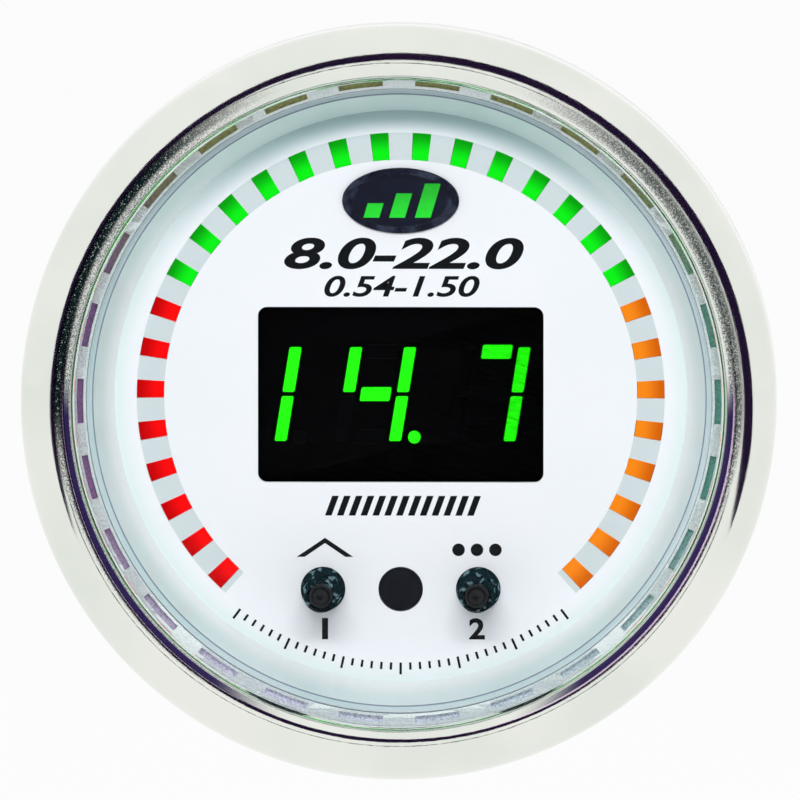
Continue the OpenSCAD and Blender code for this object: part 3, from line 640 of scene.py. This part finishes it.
def litFinish():
    p = Paint("litSegment")
    mottle = p.noise(0.0009)
    colour = p.mix(mottle.rise(0.45, 0.8) * 0.55, displayLook["lit"], displayLook["litDark"])
    return p.surface(
        {
            "Base Color": p.mix(0.9, colour, black),
            "Roughness": 0.35 + mottle * 0.1,
            "Emission Color": colour,
            "Emission Strength": 1.0 / (1 - displayLook["filterAlpha"]) ** 2,
        }
    )


def plainFinish(name, colours, size, roughness, depth, shine=0.5):
    p = Paint(name)
    fine = p.noise(size, 3.0, 0.6)
    cloud = p.noise(size * 22, 3.0, 0.55)
    shade = (fine.rise(0.35, 0.75) * 0.5 + cloud.rise(0.3, 0.7) * 0.5) * 0.7
    return p.surface(
        {
            "Base Color": p.mix(shade, *colours),
            "Roughness": roughness + (fine - 0.5) * 0.16 + (cloud - 0.5) * 0.1,
            "Specular IOR Level": shine,
            "Normal": p.bump(fine, depth),
        }
    )


dress(filterFinish(), "display_filter")
dress(litFinish(), "lit_segments")
dress(plainFinish("unlitSegment", displayLook["unlit"], 0.0003, 0.5, 0.000004, shine=0.1), "unlit_segments")
dress(plainFinish("displayFace", displayLook["face"], 0.0002, 0.5, 0.000005, shine=0.1), "display_module")
print("dial, windows and display finished")

# Oval window over the dial with its raised bevelled rim, which carries a painted highlight, and three rising
# bars behind it
badgeLook = {
    "body": tone(17, 20, 38),
    "streak": tone(22, 28, 50),
    "rim": tone(66, 74, 92),
    "rimDepth": (0.0024, 0.0026),
    "across": 4.4,
    "up": 2.45,
    "bars": tone(20, 222, 40),
    "barEdge": tone(8, 150, 24),
    "barShade": (-1.2, 1.3),
    "barWidth": 1.2,
    "barPitch": 1.95,
    "barLow": -1.3,
    "barHeights": [1.1, 1.85, 2.6],
    "barLift": (0.005, 0.025),
    "lean": 0.3,
}
sensorColours = (tone(13, 16, 25), tone(18, 22, 30))


def badgeFinish():
    look = badgeLook
    p = Paint("ovalWindow")
    x, y, z = p.axes()
    fine = p.noise(0.0002)
    streak = p.noise(0.0014)
    over = (z - gauge["badgeY"] * mm) / (look["up"] * mm)
    wide = x / (look["across"] * mm)
    rim = (wide * wide + over * over).rise(0.60, 0.72) * y.fall(*look["rimDepth"])
    colour = p.mix(streak.rise(0.45, 0.7) * 0.5, look["body"], look["streak"])
    # painted highlight along the bevelled rim, broken up by noise
    colour = p.mix(rim * streak.rise(0.4, 0.62) * 0.6, colour, look["rim"])
    return p.surface(
        {
            "Base Color": colour,
            "Roughness": 0.1 + fine * 0.1,
            "Specular IOR Level": 0.15,
            "Coat Weight": rim * 0.5,
            "Normal": p.bump(streak, 0.00003),
        }
    )


def barFinish():
    p = Paint("risingBar")
    z = p.axes()[2]
    speck = p.noise(0.0004)
    low, high = badgeLook["barShade"]
    edge = z.rise((gauge["badgeY"] + low) * mm, (gauge["badgeY"] + high) * mm)
    colour = p.mix((edge * 0.6 + speck * 0.3).clamp(), badgeLook["bars"], badgeLook["barEdge"])
    return p.surface(
        {
            "Base Color": p.mix(0.8, colour, black),
            "Roughness": 0.4 + speck * 0.1,
            "Emission Color": colour,
            "Emission Strength": 0.9,
        }
    )


def makeBars():
    look = badgeLook
    parts = []
    low, high = (gauge["dialFace"] + lift for lift in look["barLift"])
    first = -look["barPitch"] - look["lean"] * look["barHeights"][1] / 2
    for i, tall in enumerate(look["barHeights"]):
        x = first + i * look["barPitch"] - look["barWidth"] / 2
        y = gauge["badgeY"] + look["barLow"]
        lean = look["lean"] * tall
        loop = [
            (x, y),
            (x + look["barWidth"], y),
            (x + look["barWidth"] + lean, y + tall),
            (x + lean, y + tall),
        ]
        parts.append(plate([loop], low, high))
    points, faces = joined(parts)
    placePiece("risingBars", points, faces, barFinish(), slot="green_light", sharp=None)


dress(badgeFinish(), "badge_window")
dress(plainFinish("sensorWindow", sensorColours, 0.00025, 0.12, 0.000004, shine=0.1), "sensor_window")
makeBars()

# Buttons: black dished plungers
buttonColours = (tone(10, 12, 16), tone(24, 32, 38))


def buttonFinish():
    p = Paint("dishedButton")
    fine = p.noise(0.00016, 3.0, 0.6)
    worn = p.noise(0.0011, 3.0, 0.6)
    return p.surface(
        {
            "Base Color": p.mix(worn.rise(0.45, 0.7) * 0.6, *buttonColours),
            "Roughness": 0.22 + fine * 0.2,
            "Specular IOR Level": 0.3,
            "Normal": p.bump(fine, 0.000006),
        }
    )


dress(buttonFinish(), "button_a", "button_b")

# Prints on the dial, in millimetres: plain numbers, slanted bars, marks over the buttons and fine ticks
printLook = {
    "ink": tone(10, 13, 17),
    "inkWorn": tone(22, 26, 31),
    "thick": 0.012,
    "lift": 0.004,
    "numbers": [  # name, numbers, centre, size, slant and weight
        ("rangeNumbers", "8.0-22.0", (0.25, 10.85), (18.2, 2.4), 0.25, 0.026),
        ("ratioNumbers", "0.54-1.50", (0.1, 8.35), (11.8, 1.6), 0.25, 0.018),
        ("numberOne", "1", (-5.75, -17.72), (0.46, 1.62), 0.0, 0.02),
        ("numberTwo", "2", (5.8, -17.72), (1.2, 1.62), 0.0, 0.03),
    ],
    "strip": (13, -5.75, 0.9),  # bars, first place and pitch
    "stripBar": [(0, -9.1), (0.5, -9.1), (1.05, -7.6), (0.55, -7.6)],
    "tickSteps": (18, 2.05),  # on each side of the middle, and degrees
    "tickRadii": (20.3, 20.85, 21.2),  # inside, outside, and outside of every sixth
    "tickHalf": 0.09,
    "peak": [(-7.9, -12.25), (-7.3, -12.25), (-5.75, -11.2), (-4.2, -12.25), (-3.6, -12.25), (-5.75, -10.8)],
    "dots": [(4.4, -11.7), (5.8, -11.7), (7.2, -11.7)],
    "dotRadius": 0.48,
}


def inkFinish():
    p = Paint("blackInk")
    fine = p.noise(0.0001, 2.0, 0.6)
    return p.surface(
        {
            "Base Color": p.mix(fine.rise(0.5, 0.8) * 0.4, printLook["ink"], printLook["inkWorn"]),
            "Roughness": 0.45 + fine * 0.15,
            "Specular IOR Level": 0.15,
            "Normal": p.bump(fine, 0.000002),
        }
    )


def numberPiece(name, words, centre, size, shear, weight, material):
    curve = bpy.data.curves.new(name, "FONT")
    curve.body = words
    curve.size = 1
    curve.shear = shear
    curve.offset = weight
    curve.fill_mode = "FRONT"
    draft = bpy.data.objects.new(name + "Draft", curve)
    bpy.context.scene.collection.objects.link(draft)
    bpy.context.view_layer.update()
    mesh = bpy.data.meshes.new_from_object(draft.evaluated_get(bpy.context.evaluated_depsgraph_get()))
    bpy.data.objects.remove(draft)
    xs = [v.co.x for v in mesh.vertices]
    ys = [v.co.y for v in mesh.vertices]
    wide, tall = max(xs) - min(xs), max(ys) - min(ys)
    level = gauge["dialFace"] + printLook["lift"]
    points, faces = [], [tuple(f.vertices) for f in mesh.polygons]
    for v in mesh.vertices:
        x = (v.co.x - (max(xs) + min(xs)) / 2) / wide * size[0] + centre[0]
        y = (v.co.y - (max(ys) + min(ys)) / 2) / tall * size[1] + centre[1]
        points.append(facePoint(x, y, level))
    bpy.data.meshes.remove(mesh)
    placePiece(name, points, faces, material, slot="dial", sharp=None)


def flatPiece(name, loops, material):
    level = gauge["dialFace"] + printLook["lift"]
    points, faces = joined([plate([loop], level, level + printLook["thick"]) for loop in loops])
    placePiece(name, points, faces, material, slot="dial", sharp=None)


def tickLoop(step, degrees):  # one fine mark along the bottom
    inner, short, long = printLook["tickRadii"]
    a = math.radians(-90 + step * degrees)
    outer = long if step % 6 == 0 else short
    half = printLook["tickHalf"]
    ca, sa = math.cos(a), math.sin(a)
    return [
        (inner * ca + half * sa, inner * sa - half * ca),
        (outer * ca + half * sa, outer * sa - half * ca),
        (outer * ca - half * sa, outer * sa + half * ca),
        (inner * ca - half * sa, inner * sa + half * ca),
    ]


def makePrints():
    look = printLook
    ink = inkFinish()
    for entry in look["numbers"]:
        numberPiece(*entry, ink)
    bars, first, pitch = look["strip"]
    starts = [first + i * pitch for i in range(bars)]
    flatPiece("barStrip", [[(start + x, y) for x, y in look["stripBar"]] for start in starts], ink)
    ticks, degrees = look["tickSteps"]
    flatPiece("tickMarks", [tickLoop(i, degrees) for i in range(-ticks, ticks + 1)], ink)
    flatPiece("peakMark", [look["peak"]], ink)
    flatPiece("stepMarks", [circle(x, y, look["dotRadius"], 24) for x, y in look["dots"]], ink)


makePrints()
print("prints placed")

# Case, wiring socket and clamp at the rear, and the boards inside: each has a colour and a second one
rearLook = {
    "case": (tone(24, 25, 27), tone(36, 38, 40)),
    "socket": (tone(20, 21, 23), tone(30, 31, 34)),
    "scuff": tone(74, 76, 80),
    "rubber": (tone(20, 21, 22), tone(30, 31, 33)),
    "zinc": (tone(186, 188, 190), tone(150, 153, 158)),
    "brass": (tone(200, 168, 98), tone(158, 122, 62)),
    "gold": (tone(222, 186, 110), tone(190, 150, 80)),
    "board": (tone(20, 74, 44), tone(14, 56, 34)),
    "block": (tone(22, 23, 25), tone(30, 32, 34)),
    "chip": (tone(26, 27, 29), tone(36, 38, 40)),
    "header": (tone(24, 24, 26), tone(34, 34, 36)),
    "sleeve": (tone(28, 36, 66), tone(22, 28, 52)),
    "tube": (tone(214, 208, 190), tone(198, 192, 174)),
    "switch": (tone(40, 42, 46), tone(60, 62, 66)),
    "actuator": (tone(196, 190, 176), tone(180, 174, 160)),
    "led": (tone(232, 230, 214), tone(216, 212, 190)),
}
plainRear = [  # finish, its colours, grain size, roughness, grain depth and nodes
    ("sealRubber", "rubber", 0.0003, 0.7, 0.00001, ["lens_seal", "socket_gasket"]),
    ("circuitBoard", "board", 0.0004, 0.35, 0.000006, ["display_board", "control_board"]),
    ("blackBlock", "block", 0.0003, 0.6, 0.00001, ["light_block"]),
    ("chipBody", "chip", 0.0002, 0.5, 0.000006, ["controller_chip", "display_driver", "regulator"]),
    ("headerMoulding", "header", 0.0003, 0.5, 0.000008, ["board_header"]),
    ("capacitorSleeve", "sleeve", 0.0004, 0.35, 0.000004, ["capacitors"]),
    ("spacerTube", "tube", 0.0004, 0.45, 0.000006, ["board_spacers"]),
    ("switchCase", "switch", 0.0003, 0.4, 0.000005, ["tact_switches", "light_sensor"]),
    ("actuatorCap", "actuator", 0.0003, 0.45, 0.000005, ["actuator_a", "actuator_b"]),
    ("ledBody", "led", 0.0002, 0.35, 0.000004, ["ring_leds", "badge_leds"]),
]
metalRear = [  # finish, its colours, how its noise is stretched, roughness and nodes
    ("goldTerminal", "gold", (1, 0.2, 1), 0.2, ["socket_terminals"]),
    ("zincStud", "zinc", (1, 1, 1), 0.26, ["mounting_studs", "stud_nuts"]),
    ("zincBracket", "zinc", (0.15, 1, 1), 0.3, ["mounting_bracket"]),
    ("zincWasher", "zinc", (1, 1, 1), 0.3, ["lock_washers"]),
    ("brassThumbNut", "brass", (1, 1, 1), 0.24, ["thumb_nut_a", "thumb_nut_b"]),
    ("steelScrew", "zinc", (1, 1, 1), 0.26, ["board_screws"]),
]


def mouldedFinish(name, colours):
    p = Paint(name)
    pits = p.noise(0.00035, 4.0, 0.62)
    cloud = p.noise(0.009, 3.0)
    scuff = p.noise(0.0011, 3.0, 0.65, p.stretched(1, 0.25, 1))
    colour = p.mix(cloud.rise(0.35, 0.7) * 0.6, *colours)
    colour = p.mix(scuff.rise(0.64, 0.75) * 0.35, colour, rearLook["scuff"])
    return p.surface(
        {
            "Base Color": colour,
            "Roughness": 0.5 + (pits - 0.5) * 0.25 - scuff.rise(0.6, 0.75) * 0.1,
            "Normal": p.bump(pits, 0.00003),
        }
    )


def metalFinish(name, colours, along, roughness):
    p = Paint(name)
    drawn = p.noise(0.0002, 3.0, 0.6, p.stretched(*along))
    blotch = p.noise(0.0035, 4.0, 0.6)
    colour = p.mix((blotch.rise(0.35, 0.7) * 0.7 + drawn.rise(0.4, 0.7) * 0.3).clamp(), *colours)
    return p.surface(
        {
            "Base Color": colour,
            "Metallic": 1.0,
            "Roughness": roughness + (drawn - 0.5) * 0.2 + blotch.rise(0.5, 0.75) * 0.12,
            "Normal": p.bump(drawn, 0.000006),
        }
    )


dress(mouldedFinish("blackCase", rearLook["case"]), "case_cup")
dress(mouldedFinish("socketMoulding", rearLook["socket"]), "socket_shroud")
for name, colours, size, roughness, depth, nodes in plainRear:
    dress(plainFinish(name, rearLook[colours], size, roughness, depth), *nodes)
for name, colours, along, roughness, nodes in metalRear:
    dress(metalFinish(name, rearLook[colours], along, roughness), *nodes)
print("rear and inside finished")

# Studio: pale floor, white surroundings, soft lamps, and two dark cards that only reflections show
studio = {
    "azimuth": 1.2,
    "elevation": 3.8,
    "distance": 2.0,
    "pixelsPerMetre": 13200,
    "pictureWidth": 800,
    "sensorWidth": 36,
    "middle": (0.0, -0.14 * mm),
    "middleDepth": 0.00285,
    "floorHalf": 5.0,
    "floorHeight": -0.11,
    "floorColours": (tone(240, 241, 242), tone(236, 238, 240)),
    "floorShadow": 0.94,
    "worldColour": tone(250, 252, 255),
    "diffuseWorld": 0.56,
    "cardColour": tone(34, 21, 50),
    "cardDistance": 0.2,
    "spotDistance": 1.4,
    "cardOutline": [  # azimuth and elevation of its corners, seen from the gauge
        (-26.1, -6), (-24.7, 4.7), (-19.6, 14.6), (-12.5, 27.2), (-1.2, 35.2),
        (15.2, 34.9), (29.2, 26.6), (41.1, 11.6), (45.6, -7.9), (42.5, -18),
        (18.1, -5.5), (17, 2.8), (12.5, 9.9), (6, 13.2), (-1.2, 13.4),
        (-6.7, 9.1), (-9.3, 4.3), (-10.6, -0.4), (-10.6, -4.6), (-24.7, -12.4),
    ],
    "spotOutline": [
        (-3.7, -3.8), (-2.9, -2), (-1.2, -1.3), (0.5, -2),
        (1.3, -3.8), (0.5, -5.6), (-1.2, -6.3), (-2.9, -5.6),
    ],
    "lamps": [  # name, place, size and power
        ("keySoftbox", (0.0, -0.93, 0.40), (0.5, 0.1), 4.9),
        ("topSoftbox", (0.1, 0.1, 0.9), (0.9, 0.5), 2.2),
    ],
}


def towards(azimuth, elevation):  # a direction from the gauge, 0 and 0 straight ahead of its face
    a, e = math.radians(azimuth), math.radians(elevation)
    return Vector((math.sin(a) * math.cos(e), -math.cos(a) * math.cos(e), math.sin(e)))


def makeCamera():
    a = math.radians(studio["azimuth"])
    back = towards(studio["azimuth"], studio["elevation"])
    right = Vector((math.cos(a), math.sin(a), 0))
    up = back.cross(right)
    target = right * studio["middle"][0] + up * studio["middle"][1] + back * studio["middleDepth"]
    lens = bpy.data.cameras.new("frontCamera")
    camera = bpy.data.objects.new("frontCamera", lens)
    bpy.context.scene.collection.objects.link(camera)
    camera.location = target + back * studio["distance"]
    camera.rotation_mode = "QUATERNION"
    camera.rotation_quaternion = (-back).to_track_quat("-Z", "Y")
    lens.sensor_width = studio["sensorWidth"]
    lens.lens = studio["sensorWidth"] * studio["distance"] * studio["pixelsPerMetre"] / studio["pictureWidth"]
    lens.clip_start, lens.clip_end = 0.1, 20
    bpy.context.scene.camera = camera


def seenDirectly(p):  # 1 for what the camera, a reflection or a clear piece shows, 0 for the light on things
    ray = p.node("ShaderNodeLightPath", outlet="Is Camera Ray")
    return (ray + ray.other("Is Glossy Ray") + ray.other("Is Transmission Ray")).clamp()


def floorFinish():
    p = Paint("paleFloor")
    seen = seenDirectly(p)
    fine = p.noise(0.02, 3.0, 0.6)
    colour = p.mix(fine.rise(0.4, 0.7) * 0.3, *studio["floorColours"])
    matt = p.node("ShaderNodeBsdfDiffuse", values={"Color": colour, "Roughness": 0.6})
    plain = p.node("ShaderNodeEmission", values={"Color": (1, 1, 1, 1), "Strength": 1.0})
    p.show(p.node("ShaderNodeMixShader", values={0: seen * studio["floorShadow"], 1: matt, 2: plain}))
    return p.material


def cardFinish():
    p = Paint("darkCard")
    p.show(p.node("ShaderNodeEmission", values={"Color": studio["cardColour"], "Strength": 1.0}))
    return p.material


def sheet(name, corners, faces, material):
    mesh = bpy.data.meshes.new(name)
    mesh.from_pydata(corners, [], faces)
    mesh.materials.append(material)
    made = bpy.data.objects.new(name, mesh)
    bpy.context.scene.collection.objects.link(made)
    return made


def makeStage():
    half, height = studio["floorHalf"], studio["floorHeight"]
    squared = ((-1, -1), (1, -1), (1, 1), (-1, 1))
    corners = [Vector((x * half, y * half, height)) for x, y in squared]
    floor = sheet("floor", corners, [(0, 1, 2, 3)], floorFinish())
    for name in ("card", "spot"):
        corners = [towards(*corner) * studio[name + "Distance"] for corner in studio[name + "Outline"]]
        flag = sheet(name, corners, [tuple(t) for t in tessellate_polygon([corners])], cardFinish())
        flag.visible_camera = False
        flag.visible_diffuse = False
        flag.visible_shadow = False
        flag.visible_transmission = False


def makeWorld():
    world = bpy.data.worlds.new("whiteStudio")
    bpy.context.scene.world = world
    world.use_nodes = True
    p = Paint("whiteStudio", world.node_tree)
    seen = seenDirectly(p)
    soft = {"Color": studio["worldColour"], "Strength": studio["diffuseWorld"]}
    lit = p.node("ShaderNodeBackground", values=soft)
    white = p.node("ShaderNodeBackground", values={"Color": (1, 1, 1, 1), "Strength": 1.0})
    both = p.node("ShaderNodeMixShader", values={0: seen, 1: lit, 2: white})
    outlet = p.tree.nodes.new("ShaderNodeOutputWorld")
    p.tree.links.new(both.socket, outlet.inputs["Surface"])


def makeLamp(name, place, size, power):
    light = bpy.data.lights.new(name, "AREA")
    light.shape = "RECTANGLE"
    light.size, light.size_y = size
    light.energy = power
    lamp = bpy.data.objects.new(name, light)
    bpy.context.scene.collection.objects.link(lamp)
    lamp.location = place
    lamp.rotation_mode = "QUATERNION"
    lamp.rotation_quaternion = (Vector((0, 0, 0)) - Vector(place)).to_track_quat("-Z", "Y")
    lamp.visible_camera = False
    lamp.visible_glossy = False


makeCamera()
makeStage()
makeWorld()
for lamp in studio["lamps"]:
    makeLamp(*lamp)
print("studio built")

bpy.context.scene.view_settings.view_transform = "Standard"
